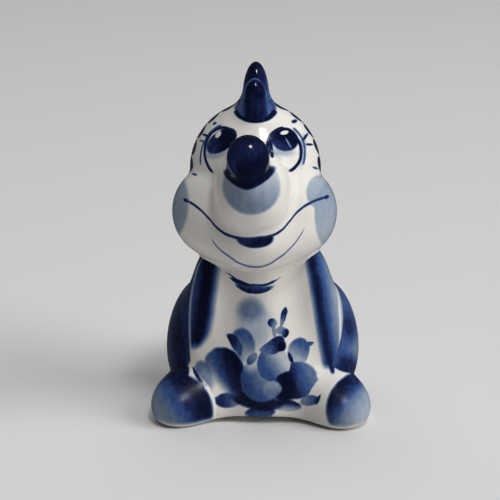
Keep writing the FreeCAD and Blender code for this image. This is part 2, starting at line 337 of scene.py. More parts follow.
def body_piece(rows, columns):
    """Skin of the body: rays from its middle, spread as on a ball whose lower pole looks at the vent,
    and before them the rings of the vent: its roof, wall and rim."""
    middle = np.array(BODY_MIDDLE)
    tilt = math.degrees(math.atan2(VENT_Y - middle[1], middle[2]))
    sphere = ball(rows, columns)[VENT_ROWS:]
    direction = (sphere @ turn("x", tilt).T) * np.array(BODY_RAYS)
    outside = skin("body_shell", middle, direction)
    u = np.linspace(0, 2 * math.pi, columns, endpoint=False)
    circle = np.stack([np.cos(u), np.sin(u), 0 * u], -1)
    vent = np.array((0.0, VENT_Y, 0.0))
    up = np.array((0.0, 0.0, 1.0))
    rings = [
        vent + VENT_DEPTH * up + 0 * circle,
        vent + VENT_DEPTH * up + VENT_RADIUS * circle,
        vent + 0.75 * VENT_LIP * up + VENT_RADIUS * circle,
        vent + 0.125 * VENT_LIP * up + (VENT_RADIUS + 0.25 * VENT_LIP) * circle,
        vent + (VENT_RADIUS + VENT_LIP) * circle,
    ]
    return build("body_shell", np.concatenate([np.array(rings), outside]))


def tail_piece(rows, columns):
    """Skin of the tail: rings round its arc, with half balls of rays at both ends."""
    cap = rows // TAIL_CAP_SHARE
    along = np.concatenate([np.zeros(cap), np.linspace(0, 1, rows - 2 * cap), np.ones(cap)])
    slope = np.concatenate([
        np.linspace(-math.pi / 2, 0, cap, endpoint=False), np.zeros(rows - 2 * cap),
        np.linspace(math.pi / 2, 0, cap, endpoint=False)[::-1],
    ])[:, None]
    angle = along * TAIL_SWEEP
    zero = 0 * angle
    forward = np.stack([zero, np.cos(angle), np.sin(angle)], -1)[:, None]
    side = np.stack([zero + 1, zero, zero], -1)[:, None]
    across = np.cross(forward, side)
    u = np.linspace(0, 2 * math.pi, columns, endpoint=False)[None, :]
    round_it = np.cos(u)[..., None] * side + np.sin(u)[..., None] * across
    direction = np.cos(slope)[..., None] * round_it + np.sin(slope)[..., None] * forward
    radius = TAIL_ROOT_RADIUS + (TAIL_TIP_RADIUS - TAIL_ROOT_RADIUS) * along
    origin = tail_place(angle)[:, None] + 0 * direction
    return build("tail", skin("tail", origin, direction * radius[:, None, None]))


pieces = {
    "body_shell": body_piece(*BODY_GRID),
    "head_shell": head_piece(*HEAD_GRID),
    "tail": tail_piece(*TAIL_GRID),
}
for name in LOBES:
    pieces[name] = lobe_piece(name, *LOBE_GRIDS[name.split("_")[-1]])


class Wire:
    """A value, colour or vector that flows through a material's nodes."""

    def __init__(self, tree, socket):
        self.tree = tree
        self.socket = socket

    def add(self, kind, settings=(), sockets=(), out=0):
        """A node of any kind: its settings are set first, then its sockets are set or linked."""
        made = self.tree.nodes.new(kind)
        for key, value in dict(settings).items():
            setattr(made, key, value)
        for key, value in dict(sockets).items():
            if isinstance(value, Wire):
                self.tree.links.new(value.socket, made.inputs[key])
            else:
                made.inputs[key].default_value = value
        return Wire(self.tree, made.outputs[out])

    def math(self, operation, *values):
        """A Math node on this value and the others."""
        return self.add("ShaderNodeMath", {"operation": operation}, dict(enumerate((self,) + values)))

    def __add__(self, other):
        return self.math("ADD", other)

    def __sub__(self, other):
        return self.math("SUBTRACT", other)

    def __mul__(self, other):
        return self.math("MULTIPLY", other)

    def __truediv__(self, other):
        return self.math("DIVIDE", other)

    __radd__ = __add__
    __rmul__ = __mul__

    def __rsub__(self, other):
        return self.add("ShaderNodeMath", {"operation": "SUBTRACT"}, {0: other, 1: self})

    def vector(self, operation, *values, out=0):
        """A Vector Math node on this vector and the others."""
        sockets = dict(enumerate((self,) + values))
        return self.add("ShaderNodeVectorMath", {"operation": operation}, sockets, out)

    def scaled(self, factor):
        """This vector or colour times a number or value."""
        return self.add("ShaderNodeVectorMath", {"operation": "SCALE"}, {0: self, "Scale": factor})

    def dot(self, other):
        """The dot product of this vector and another one."""
        return self.vector("DOT_PRODUCT", other, out="Value")

    def length(self):
        """The length of this vector."""
        return self.vector("LENGTH", out="Value")

    def part(self, axis):
        """One part of a vector."""
        return self.add("ShaderNodeSeparateXYZ", (), {0: self}, axis)

    def ramp(self, low, high, start=0.0, end=1.0):
        """This value mapped from low..high to start..end, eased at both ends."""
        sockets = {"Value": self, "From Min": low, "From Max": high, "To Min": start, "To Max": end}
        return self.add("ShaderNodeMapRange", {"interpolation_type": "SMOOTHSTEP"}, sockets)

    def fall(self, low, high):
        """1 below low and 0 above high, eased between them."""
        return self.ramp(high, low)

    def over(self, mask, value):
        """This density with another one laid over it where the mask is."""
        sockets = {"Factor": mask, 2: self, 3: value}
        return self.add("ShaderNodeMix", {"data_type": "FLOAT"}, sockets)

    def noise(self, scale, detail=2.0, out=0):
        """Soft noise at this place: its value, or three values as a colour."""
        sockets = {"Vector": self, "Scale": scale, "Detail": detail}
        return self.add("ShaderNodeTexNoise", (), sockets, out)


# Cobalt: how the colour deepens with the paint's density, from bare glaze to the thickest strokes
COBALT = (
    (0.0, (0.780, 0.755, 0.715)),
    (0.15, (0.350, 0.410, 0.490)),
    (0.30, (0.160, 0.220, 0.330)),
    (0.50, (0.038, 0.086, 0.255)),
    (0.75, (0.010, 0.019, 0.084)),
    (1.0, (0.002, 0.004, 0.022)),
)
BARE, PALE, SOFT, MID, DARK, DEEP, INKY = 0.0, 0.14, 0.30, 0.52, 0.78, 1.0, 1.25
# How far from its middle a petal's tone changes, how thin its taper gets, how bluntly an arc ends
TONE_SPAN = 0.75
THINNEST_TAPER = 0.05
ARC_ENDS = 5.0

# Glaze: noise scales are in waves a millimetre
NOISE_LOW = 0.3
NOISE_HIGH = 0.7
WOBBLE_SCALE = 0.35
FINE_WOBBLE = 1.0
BELLY_WOBBLE = 3.2
BRUSH_SQUEEZE = (1.0, 1.0, 0.22)
BRUSH_SCALE = 0.7
POOL_SCALE = 0.9
SPECK_SCALE = 3.5
SPINE_SCALE = 0.25
POOL_SHARE, BRUSH_SHARE, SPECK_SHARE = 0.35, 0.45, 0.2
THINNEST_PAINT = 0.5
TINT_SCALE = 0.12
TINT_LOW, TINT_HIGH = 0.97, 1.03
GLOSS_SCALE = 0.8
SMOOTHEST, ROUGHEST = 0.10, 0.17
COAT_WEIGHT = 0.1
COAT_ROUGHNESS = 0.05
# The glaze is wiped duller near the table
DULL_FROM, DULL_UP_TO = 9.0, 14.0
DULL_ROUGHNESS = 0.2
WAVE_SCALE, RIPPLE_SCALE = 0.22, 1.6
RIPPLE_SHARE = 0.12
WAVE_STRENGTH = 0.15
WAVE_HEIGHT = 0.6
GLAZE_IOR = 1.5
SPECULAR_LEVEL = 0.36
OPAQUE = (1.0,)


def picture_place(place):
    """Where a place in metres is seen in the picture, in pixels: its sideways and upward offsets from
    the eye over its depth, times the focal length, from the picture's middle."""
    seen = place.vector("SUBTRACT", EYE)
    depth = seen.dot(-BACK)
    px = seen.dot(RIGHT) / depth * FOCAL_PIXELS + PICTURE_SIZE / 2
    py = PICTURE_SIZE / 2 - seen.dot(UP) / depth * FOCAL_PIXELS
    return place.add("ShaderNodeCombineXYZ", (), {"X": px, "Y": py})


def cobalt_colour(density):
    """The colour of a density of paint, by the stops of COBALT."""
    ramp = density.add("ShaderNodeValToRGB", (), {"Fac": density})
    stops = ramp.socket.node.color_ramp.elements
    for stop, (position, colour) in zip((stops[0], stops[1]), (COBALT[0], COBALT[-1])):
        stop.position = position
        stop.color = colour + OPAQUE
    for position, colour in COBALT[1:-1]:
        stops.new(position).color = colour + OPAQUE
    return ramp


def glaze(name, painter, wobbling=FINE_WOBBLE):
    """A porcelain glaze whose cobalt density comes from painter(picture place, object place in mm). The
    brush strays from the picture place by wobbling pixels, and the paint pools and streaks."""
    material = bpy.data.materials.new(name)
    material.use_nodes = True
    tree = material.node_tree
    start = Wire(tree, None)
    place = start.add("ShaderNodeTexCoord", (), (), "Object")
    mm = place.scaled(1 / MM)
    wobble = mm.noise(WOBBLE_SCALE, 3.0, "Color").vector("SUBTRACT", (0.5, 0.5, 0.5))
    picture = wobble.vector("MULTIPLY_ADD", (wobbling, wobbling, 0.0), picture_place(place))
    brushed = mm.vector("MULTIPLY", BRUSH_SQUEEZE).noise(BRUSH_SCALE, 3.0)
    pooled = mm.noise(POOL_SCALE, 4.0) * POOL_SHARE + brushed * BRUSH_SHARE
    streak = pooled + mm.noise(SPECK_SCALE) * SPECK_SHARE + THINNEST_PAINT
    tint = mm.noise(TINT_SCALE).ramp(NOISE_LOW, NOISE_HIGH, TINT_LOW, TINT_HIGH)
    height = mm.part("Z")
    rough = mm.noise(GLOSS_SCALE, 3.0).ramp(NOISE_LOW, NOISE_HIGH, SMOOTHEST, ROUGHEST)
    waves = mm.noise(WAVE_SCALE) + mm.noise(RIPPLE_SCALE) * RIPPLE_SHARE
    bumps = {"Strength": WAVE_STRENGTH, "Distance": WAVE_HEIGHT * MM, "Height": waves}
    varying = {
        "Base Color": cobalt_colour(painter(picture, mm) * streak).scaled(tint),
        "Roughness": rough + height.ramp(DULL_UP_TO, DULL_FROM, 0.0, DULL_ROUGHNESS),
        "Coat Weight": height.ramp(DULL_FROM, DULL_UP_TO, 0.0, COAT_WEIGHT),
        "Normal": start.add("ShaderNodeBump", (), bumps),
    }
    shader = tree.nodes["Principled BSDF"]
    for socket, wire in varying.items():
        tree.links.new(wire.socket, shader.inputs[socket])
    shader.inputs["IOR"].default_value = GLAZE_IOR
    shader.inputs["Specular IOR Level"].default_value = SPECULAR_LEVEL
    shader.inputs["Coat Roughness"].default_value = COAT_ROUGHNESS
    return material


# Brush strokes: each function below returns a stroke, which is laid over a density at a picture place
def petal(at, half, angle=0.0, dark=DARK, light=None, toward=0.0, edge=0.12, bend=0.0, taper=0.0,
          amount=1.0, fade=None):
    """An oval stroke: half its length and width in pixels, turned clockwise by angle. It is bent along
    its length, tapers to one end, and goes from light to dark toward a direction in its own axes. It
    fades out along a direction of the picture, between two distances."""
    shape = {"Location": at + (0.0,), "Rotation": (0.0, 0.0, math.radians(angle)), "Scale": half + (1.0,)}
    a = math.radians(toward)

    def laid(d, picture, within=None):
        own = picture.add("ShaderNodeMapping", {"vector_type": "TEXTURE"}, {"Vector": picture, **shape})
        if bend or taper:
            x = own.part("X")
            y = own.part("Y")
            if bend:
                y = y + x * x * bend - bend / 2
            if taper:
                y = y / (x * taper + 1.0).math("MAXIMUM", THINNEST_TAPER)
            own = picture.add("ShaderNodeCombineXYZ", (), {"X": x, "Y": y})
        mask = own.length().ramp(1 + edge, 1 - edge, 0.0, amount)
        if fade:
            direction, near, far = fade
            mask = mask * picture.dot(direction + (0.0,)).ramp(near, far, 1.0, 0.0)
        if within is not None:
            mask = mask * within
        if light is None:
            return d.over(mask, dark)
        tone = own.dot((math.cos(a), math.sin(a), 0.0)).ramp(-TONE_SPAN, TONE_SPAN, light, dark)
        return d.over(mask, tone)

    return laid


def course(picture, points, upright=False):
    """How far a place lies below a smooth curve through points, or right of it for an upright one, and
    how far along the curve it lies, from 0 to 1."""
    run = picture.part("Y" if upright else "X")
    rise = picture.part("X" if upright else "Y")
    steps = [p[1] if upright else p[0] for p in points]
    values = [p[0] if upright else p[1] for p in points]
    low = min(values) - 1
    span = max(values) + 1 - low
    length = steps[-1] - steps[0]
    along = (run - steps[0]) / length
    curve = picture.add("ShaderNodeFloatCurve", (), {"Value": along})
    mapping = curve.socket.node.mapping
    knots = mapping.curves[0].points
    while len(knots) < len(points):
        knots.new(0.5, 0.5)
    for knot, step, value in zip(knots, steps, values):
        knot.location = ((step - steps[0]) / length, (value - low) / span)
    mapping.update()
    return rise - (curve * span + low), along


def line(points, width, level=DARK, edge=0.7, upright=False, ends=4.0):
    """A liner stroke along a smooth curve through points: width pixels to either side of the curve, and
    thinner towards its ends."""
    def laid(d, picture):
        gap, along = course(picture, points, upright)
        thick = (along * (1.0 - along) * 4.0 * ends).math("MINIMUM", 1.0) * width
        return d.over((gap.math("ABSOLUTE") - thick).ramp(edge, -edge), level)

    return laid


def arc(at, half, start, end, width, level=DARK, edge=0.6):
    """A liner stroke along part of an oval, from a start to an end angle clockwise from the right, in
    degrees, thinner towards its ends."""
    shape = {"Location": at + (0.0,), "Scale": half + (1.0,)}
    middle = math.radians(start + end) / 2
    reach = math.radians(end - start) / 2

    def laid(d, picture):
        own = picture.add("ShaderNodeMapping", {"vector_type": "TEXTURE"}, {"Vector": picture, **shape})
        gap = (own.length() - 1.0) * (half[0] + half[1]) / 2
        turned = own.part("Y").math("ARCTAN2", own.part("X")) - middle
        t = turned.math("WRAP", math.pi, -math.pi) / reach
        thick = ((1.0 - t * t) * width * ARC_ENDS).math("MINIMUM", width)
        return d.over((gap.math("ABSOLUTE") - thick).ramp(edge, -edge), level)

    return laid


def paint(d, picture, strokes):
    """All strokes of one motif laid over a density, in their order."""
    for stroke in strokes.values():
        d = stroke(d, picture)
    return d


def even(mm, density=BARE):
    """The same density everywhere."""
    return mm.part("Y") * 0.0 + density


def beside(picture, top, lean):
    """How far right of a straight line a place lies. The line starts at top and runs down, and goes
    lean pixels to the right in each pixel."""
    x, y = top
    return picture.part("X") - (picture.part("Y") - y) * lean - x


def aside(mm, middle):
    """How far to either side of the middle plane a place lies, in mm."""
    return (mm.part("X") - middle).math("ABSOLUTE")


# Strokes of the head, in picture pixels. Right and left are the figure's own
CHEEKS = {
    "right": petal(at=(169, 208), half=(19, 36), angle=8, dark=SOFT, light=0.20, toward=180),
    "left, upper": petal(at=(320, 192), half=(13.5, 17), dark=0.20, light=PALE, toward=90, edge=0.10),
    "left, lower": petal(at=(335, 215), half=(20.5, 38), dark=0.22, light=PALE, toward=-90, edge=0.07),
}
SNOUT = {
    "wash": petal(at=(251.5, 186), half=(29, 28.5), dark=0.27, light=0.10, toward=100, edge=0.07),
    # Dark cobalt round the nose's foot, deepened into a painted shadow where the nose meets the muzzle
    "painted shadow under the nose": petal(at=(247.5, 168), half=(20.5, 19), dark=DEEP, edge=0.1),
    "right wing": petal(at=(236.5, 179.5), half=(14.5, 5.5), angle=36, dark=DEEP, edge=0.2),
    "left wing": petal(at=(259.5, 178), half=(17.5, 6), angle=-34, dark=DEEP, edge=0.2),
}
RIGHT_EYE = {
    "lower shade": petal(at=(217, 153.5), half=(11, 5), angle=-10, dark=PALE, edge=0.5),
    "pupil": petal(at=(221.5, 141), half=(17, 9.5), angle=-36, dark=INKY, light=0.75, toward=15, edge=0.08),
    "glint": petal(at=(218.3, 134.5), half=(4.2, 2.3), angle=-50, dark=BARE, edge=0.25),
    "outline": arc(at=(223, 152), half=(18.3, 24.3), start=-240, end=-42, width=1.3, level=0.9),
    "brow": arc(at=(228, 160), half=(27.5, 36), start=-188, end=-103, width=0.8, level=0.6),
    "upper lash": petal(at=(205.5, 135.2), half=(3.4, 1.2), angle=20, edge=0.3),
    "lower lash": petal(at=(202, 141), half=(2.6, 1), angle=15, dark=MID, edge=0.3),
    "brow dot": petal(at=(214.6, 123.4), half=(2.2, 1.4), angle=-30, dark=MID, edge=0.3),
    "temple dot": petal(at=(194.4, 174.4), half=(2.6, 1.2), angle=20, dark=MID, edge=0.4),
}
LEFT_EYE = {
    "lower shade": petal(at=(282, 151.5), half=(12, 4.5), angle=5, dark=PALE, edge=0.5),
    "outer shade": petal(at=(302.5, 150), half=(3.5, 15), angle=5, dark=PALE, edge=0.4),
    "pupil": petal(at=(284.6, 139.3), half=(13.8, 11.5), angle=18, dark=0.75, light=INKY, toward=100,
                   edge=0.08),
    "glint": petal(at=(284.6, 132.6), half=(4.6, 2.1), angle=-12, dark=BARE, edge=0.25),
    "thin glint": petal(at=(288.4, 143), half=(6.2, 0.9), angle=59, dark=SOFT, edge=0.4),
    "inner outline": arc(at=(285, 146), half=(17.5, 18), start=-208, end=-92, width=1.6, level=0.9),
    "line beside the nose": line(((269.8, 138), (271, 147), (272.4, 158)), width=1.7, level=0.9,
                                 upright=True),
    "outer outline": arc(at=(284, 152), half=(17.3, 20), start=-54, end=74, width=1.5, level=0.9),
    "brow": arc(at=(283, 153), half=(22, 28), start=-64, end=26, width=1.1, level=MID),
    "upper lash": petal(at=(305.2, 137), half=(4.8, 1.4), angle=-55, edge=0.3),
    "lower lash": petal(at=(309.2, 144.4), half=(3.5, 1.2), angle=4, edge=0.3),
    "brow dot": petal(at=(294.3, 121.3), half=(2.9, 1.9), angle=-20, edge=0.3),
    "temple dot": petal(at=(315.4, 168.1), half=(2.8, 1.2), angle=20, dark=MID, edge=0.4),
}
LIPS = (
    (184.5, 199.5), (195, 205.5), (208, 217.5), (219, 229.5), (230, 235.8), (243, 238.6),
    (258, 238), (271, 235.8), (281, 230.5), (289, 222), (299, 210.5), (312, 202),
    (328, 196.5),
)
CHIN = (
    (211.5, 238.5), (219, 248.5), (230, 257), (241, 264), (253, 266.8), (265, 265.5),
    (277, 259), (289, 249.5), (298, 239), (304.5, 228),
)
LIP_EDGE = 0.6
TONGUE = petal(at=(255, 238.5), half=(17.8, 9.4), dark=DEEP, light=0.72)
MOUTH = {
    "lips": line(LIPS, width=1.3, level=0.75, edge=0.9, ends=6),
    "right corner": petal(at=(186, 200.3), half=(2.6, 1.8), angle=30, dark=0.75, edge=0.3),
    "left corner": petal(at=(326.3, 197), half=(2.6, 1.8), angle=-20, dark=0.75, edge=0.3),
    "chin": line(CHIN, width=0.8, level=MID, edge=0.8, ends=14),
}
CREST_FOOT = {
    "wash": petal(at=(255.5, 108.5), half=(20.5, 14), dark=0.6, edge=0.08),
    "rim": arc(at=(255.5, 108.5), half=(19.2, 12.6), start=5, end=175, width=2.4, level=DEEP, edge=1.2),
}

# Strokes of the belly
COLLAR = {
    "thin line": line(
        ((226, 272.5), (233, 277.2), (241, 281.3), (252, 285), (262, 285), (272, 282.3),
         (280, 277.5)), width=1.1, ends=2),
    "right end": petal(at=(241, 283), half=(11.5, 2.2), angle=24, dark=0.85, edge=0.3),
    "crescent": petal(at=(253.8, 288), half=(18, 3.8), angle=4, dark=0.62, light=0.85, toward=-90,
                      edge=0.2, bend=1.1),
}
CLOUD = {
    "wash": petal(at=(254, 325), half=(17, 24), dark=PALE, edge=0.45),
    "puff": petal(at=(250.5, 310), half=(11.5, 10.5), dark=0.34, edge=0.6),
}
SPRIG = {
    "long bud": petal(at=(282.9, 318), half=(10.2, 2.9), angle=-76, light=SOFT, edge=0.15, taper=0.35),
    "stalk": petal(at=(274, 330.5), half=(6.5, 2), angle=80, dark=SOFT, edge=0.3),
    "round bud": petal(at=(272.6, 322.8), half=(4.2, 4.6), dark=SOFT, light=DARK, toward=20, edge=0.15),
    "pale berry": petal(at=(281, 330.5), half=(5, 4), dark=SOFT, edge=0.25),
    "dark berry": petal(at=(285.2, 333), half=(3.6, 4.4), angle=20, dark=DEEP, light=MID, edge=0.2),
}
LEAVES = {
    "upper": petal(at=(243.5, 345), half=(11.5, 17), angle=-12, dark=0.5, light=0.2, toward=-70,
                   taper=-0.1),
    "fold of the upper": petal(at=(235.3, 344.5), half=(12.5, 4.6), angle=60, dark=0.9, light=MID,
                               toward=180, edge=0.15, bend=-0.45, taper=-0.2),
    "left": petal(at=(298.5, 351.5), half=(10.5, 14), angle=14, dark=MID, light=PALE, toward=-80, edge=0.1),
    "tip of the left": petal(at=(308.5, 344), half=(5, 2.6), angle=-18, dark=MID, edge=0.25, taper=-0.5),
    "edge of the left": petal(at=(290.5, 358), half=(6.5, 2), angle=68, dark=0.9, edge=0.25),
}
LOWER_LEAF = {
    "blade": petal(at=(309.5, 400.5), half=(9, 5.2), angle=-8, dark=SOFT, light=MID, toward=180, edge=0.15),
    "tip": petal(at=(318, 399.3), half=(5.4, 1.9), angle=-60, edge=0.25, taper=-0.4),
}
SIDE_LEAF = {
    "blade": petal(at=(203, 373.5), half=(8.5, 12.5), angle=-14, dark=0.27, light=0.38, toward=90,
                   edge=0.2),
    "dark edge": line(((192.5, 368), (196.5, 374.5), (200, 380.5), (204, 387)),
                      width=2.8, level=0.85, edge=0.9),
}
ROSE = {
    "lower right": petal(at=(228, 400.5), half=(13.5, 7.2), dark=SOFT, light=DARK, edge=0.14),
    "lower left": petal(at=(287, 406), half=(14, 5.4), angle=2, dark=PALE, light=0.85, toward=90,
                        edge=0.14),
    "lowest": petal(at=(260, 412.5), half=(14.5, 6.2), angle=-4, dark=MID, light=DARK, toward=90,
                    edge=0.14),
    "ground": petal(at=(256, 401), half=(24, 8), angle=10, dark=0.95, edge=0.2),
    "right": petal(at=(226, 372.5), half=(26.5, 18.5), angle=60, dark=DEEP, light=0.4, toward=-80,
                   edge=0.07, taper=-0.12, fade=((-0.75, 0.66), 80, 94)),
    "foot of the right": petal(at=(205.5, 384), half=(7.5, 11), angle=20, dark=0.26, edge=0.6, amount=0.85),
    "left": petal(at=(297, 380.5), half=(20.5, 18), angle=-22, dark=0.4, light=DEEP, toward=5, edge=0.07),
    "shade of the left": petal(at=(285, 390), half=(11, 13), angle=25, dark=DEEP, edge=0.3),
    "cup": petal(at=(261.5, 379.5), half=(21.5, 22.5), dark=0.16, light=0.56, toward=-35, edge=0.06),
    "light of the cup": petal(at=(252, 362), half=(9, 9), angle=30, dark=0.05, edge=0.6, amount=0.8),
    "heart": petal(at=(273.5, 364.5), half=(16.3, 17.5), dark=0.56, light=0.1, toward=145, edge=0.05),
    "shade of the heart": petal(at=(283.5, 379.5), half=(9.5, 6), angle=-38, dark=DEEP, edge=0.2),
    "lip of the cup": petal(at=(272.5, 389), half=(9.5, 8), angle=-25, dark=0.22, light=0.4, toward=-60,
                            edge=0.2),
    "small": petal(at=(252, 358.5), half=(7, 4.2), angle=-52, dark=SOFT, light=MID, edge=0.15),
    "upper": petal(at=(272.5, 346), half=(13.6, 7.2), angle=-28, dark=0.85, light=0.42, edge=0.1, bend=0.3,
                   taper=0.3),
    "tip of the upper": petal(at=(281.8, 346.5), half=(5.4, 4), angle=-55, dark=DEEP, edge=0.25),
}

# Strokes of the arms, thighs, feet, nose and crest
RIGHT_ARM = {
    "dark middle": line(((212, 246), (209.5, 266), (205, 300), (200.5, 330), (194, 354)),
                        width=6, level=1.3, edge=8.5, upright=True),
    "bare inner side": line(((229, 250), (225, 290), (222, 325), (211, 375)),
                            width=2, level=BARE, edge=8, upright=True),
}
RIGHT_ARM_EDGE = ((203, 258), (194, 280), (190, 310), (190.5, 352))
# A nearly bare line along the right arm's outer edge is a painted highlight
RIGHT_ARM_HIGHLIGHT = line(RIGHT_ARM_EDGE, width=0.7, level=0.06, edge=1.5, upright=True)
LEFT_ARM_DARK = line(((309, 248), (316, 280), (321, 310), (325.5, 340), (331.5, 374)),
                     width=3.2, level=0.97, edge=7, upright=True, ends=12)
LEFT_ARM_TIP = petal(at=(331.6, 367), half=(2.6, 6.5), angle=-10, edge=0.35)
# A bare line along the left arm's outer edge is a painted highlight
LEFT_ARM_HIGHLIGHT = line(((330, 268), (336, 285), (340, 315), (339, 362)),
                    width=0.9, level=BARE, edge=1.4, upright=True)
RIGHT_THIGH = {
    "dark middle": petal(at=(181, 332), half=(10, 34), angle=4, dark=DEEP, edge=0.6, amount=0.85),
    "dark foot": petal(at=(180, 368), half=(9, 14), angle=4, dark=0.85, edge=0.6, amount=0.85),
    # A paler band along the thigh's outer edge is a painted reflection
    "painted reflection along the rim": petal(at=(166, 318), half=(5, 42), angle=12, dark=0.36, edge=0.6),
}
LEFT_THIGH = {
    "dark spot": petal(at=(349.5, 326), half=(6, 14), angle=-8, dark=0.85, edge=0.8, amount=0.8),
    "dark foot": petal(at=(347, 369), half=(11, 12), dark=0.85, edge=0.7),
}
RIGHT_FOOT_MIDDLE = (178, 407)
RIGHT_FOOT = {
    "dark inner side": petal(at=(205, 402), half=(10, 24), angle=-8, dark=DEEP, edge=0.7, amount=0.9),
    "dark toe": petal(at=(200, 424), half=(14, 6), angle=-25, dark=0.75, edge=0.8, amount=0.7),
}
LEFT_FOOT_MIDDLE = (361, 405)
LEFT_FOOT_DARK = petal(at=(335, 391), half=(9, 18), angle=8, dark=DEEP, edge=0.8, amount=0.85)
LEFT_ANKLE = petal(at=(345.5, 367.5), half=(11, 4.6), angle=14, dark=1, edge=0.25)
LEFT_ANKLE_LINE = line(((350, 370), (352, 377), (357.5, 385)), width=1.6, edge=1.2, upright=True)
# The nose's paler parts are a painted sheen on its dark cobalt
NOSE = {
    "upper sheen": petal(at=(247, 152), half=(15, 12), dark=0.84, edge=0.9),
    "right sheen": petal(at=(232, 165), half=(6, 18), angle=10, dark=DARK, edge=0.7),
}
# A paler line along the foremost spine's upper rim is a painted sheen
FOREHEAD_SPINE_SHEEN = arc(at=(255.3, 98), half=(11.6, 19.5), start=-185, end=5, width=0.8, level=0.36,
                         edge=1.6)

# Washes on the picture, in pixels: where each starts and ends, and its tones from start to end
RIGHT_ARM_TOP, RIGHT_ARM_LEAN = (212, 246), -0.167
RIGHT_ARM_INNER, RIGHT_ARM_TONE = (-4, 2), 0.5
RIGHT_ARM_OUTER, THIGH_TONE = (-1.5, 0), 0.72
RIGHT_ARM_END_X, RIGHT_ARM_END_CURVE = 191, 0.03
RIGHT_ARM_END = (339, 353)
RIGHT_WASH_END = (240, 250)
LEFT_ARM_TOP, LEFT_ARM_LEAN = (310, 248), 0.16
LEFT_ARM_INNER = (-9, 0)
LEFT_ARM_OUTER, LEFT_ARM_TONES = (6, 20), (0.5, 0.2)
LEFT_WASH_END = (290, 300)
LEFT_WASH_FOOT = (362, 372)
RIGHT_THIGH_TONE = 0.5
RIGHT_THIGH_WAIST, RIGHT_THIGH_NARROWING = (340, 366), 12
RIGHT_THIGH_INNER = (198, 203)
LEFT_THIGH_SPAN, LEFT_THIGH_TONES = (342, 361), (0.52, 0.24)
FOOT_SPAN, FOOT_TONES, FOOT_SLANT = (-24, 20), (0.24, 0.8), 0.6
LEFT_FOOT_SPAN, LEFT_FOOT_PALEST, LEFT_FOOT_SLANT = (-37, -3), 0.4, 0.8
NOSE_TONE = 1.05
CREST_MIDDLE = 255.5
# The spines' paler sides are thinner paint with a painted sheen of the glaze
CREST_SPAN, CREST_SIDE_TONE = (7, 14), 0.5
CREST_THINNEST, SPINE_THINNEST = 0.85, 0.8

# Where paint ends on the figure, in millimetres
CHEEK_BACK = (0.0, 6.0)
FACE_BACK = (2.5, 6.0)
BELLY_BACK = (-0.5, 1.5)
BELLY_FOOT = (1.7, 2.5)
FOOT_RIM = (0.8, 2.6)
SPINE_BACK = (6.0, 8.0)
TAIL_ENDS, TAIL_TONES = (20.0, 33.0), (0.35, 0.95)

# Painting of the back: a stripe, long strokes round the cranium's rim, and rows of scales
HEAD_STRIPE = {"middle": HEAD_X, "edge": (3.6, 5.0), "front": (0.0, 3.0), "foot": (58.0, 63.0)}
BODY_STRIPE = {"middle": 0.0, "edge": (3.0, 4.2), "front": (4.0, 8.0), "foot": (10.0, 14.0)}
RIM_STROKES_PER_RADIAN = 3.6
RIM_HALF_LENGTH = 0.47
RIM_HALF_WIDTH = 0.15
RIM_SLANT = 0.04
RIM_FACING = 0.19
RIM_EDGE = (0.85, 1.15)
RIM_DENSITY = 0.9
RIM_REACH = (1.6, 1.75)
SCALES_PER_RADIAN = 3.4
SCALE_ROW = 5.2
SCALE_MIDDLE = 0.75
SCALE_FLATNESS = 0.6
SCALE_RADIUS = 0.43
SCALE_EDGE = (0.03, 0.10)
HEAD_SCALES_Y = 0.5
HEAD_SCALES = {"first": 11.0, "reach": 12.0, "level": 0.8}
BODY_SCALES = {"first": 3.0, "reach": 4.1, "level": 0.7}
HEAD_SCALES_EDGE = (5.0, 5.6)
BODY_SCALES_EDGE = (4.0, 4.8)
HEAD_SCALES_FACING = (0.02, 0.08)


def back_stripe(d, mm, middle, edge, front, foot):
    """A dark stripe down the back, that ends softly at its sides, its front and its foot."""
    mask = aside(mm, middle).fall(*edge) * mm.part("Y").ramp(*front)
    return d.over(mask * mm.part("Z").ramp(*foot), DARK)


def scales(d, mm, turned, mask, first, reach, level):
    """Rows of rounded scale strokes, each the lower rim of a ring, every other row set over by half.
    Whole scales only: from the first row upwards, with middles nearer than reach."""
    across = turned * SCALES_PER_RADIAN
    up = mm.part("Z") / SCALE_ROW
    row = up.math("FLOOR")
    x = (across + row * 0.5).math("FRACT") - 0.5
    y = up - row - SCALE_MIDDLE
    ring = (x * x + y * y * SCALE_FLATNESS).math("SQRT") - SCALE_RADIUS
    stroke = ring.math("ABSOLUTE").fall(*SCALE_EDGE)
    middle = (across - x).math("ABSOLUTE")
    kept = row.ramp(first - 0.6, first - 0.4) * middle.fall(reach - 0.05, reach + 0.05)
    return d.over(stroke * mask * kept, level)


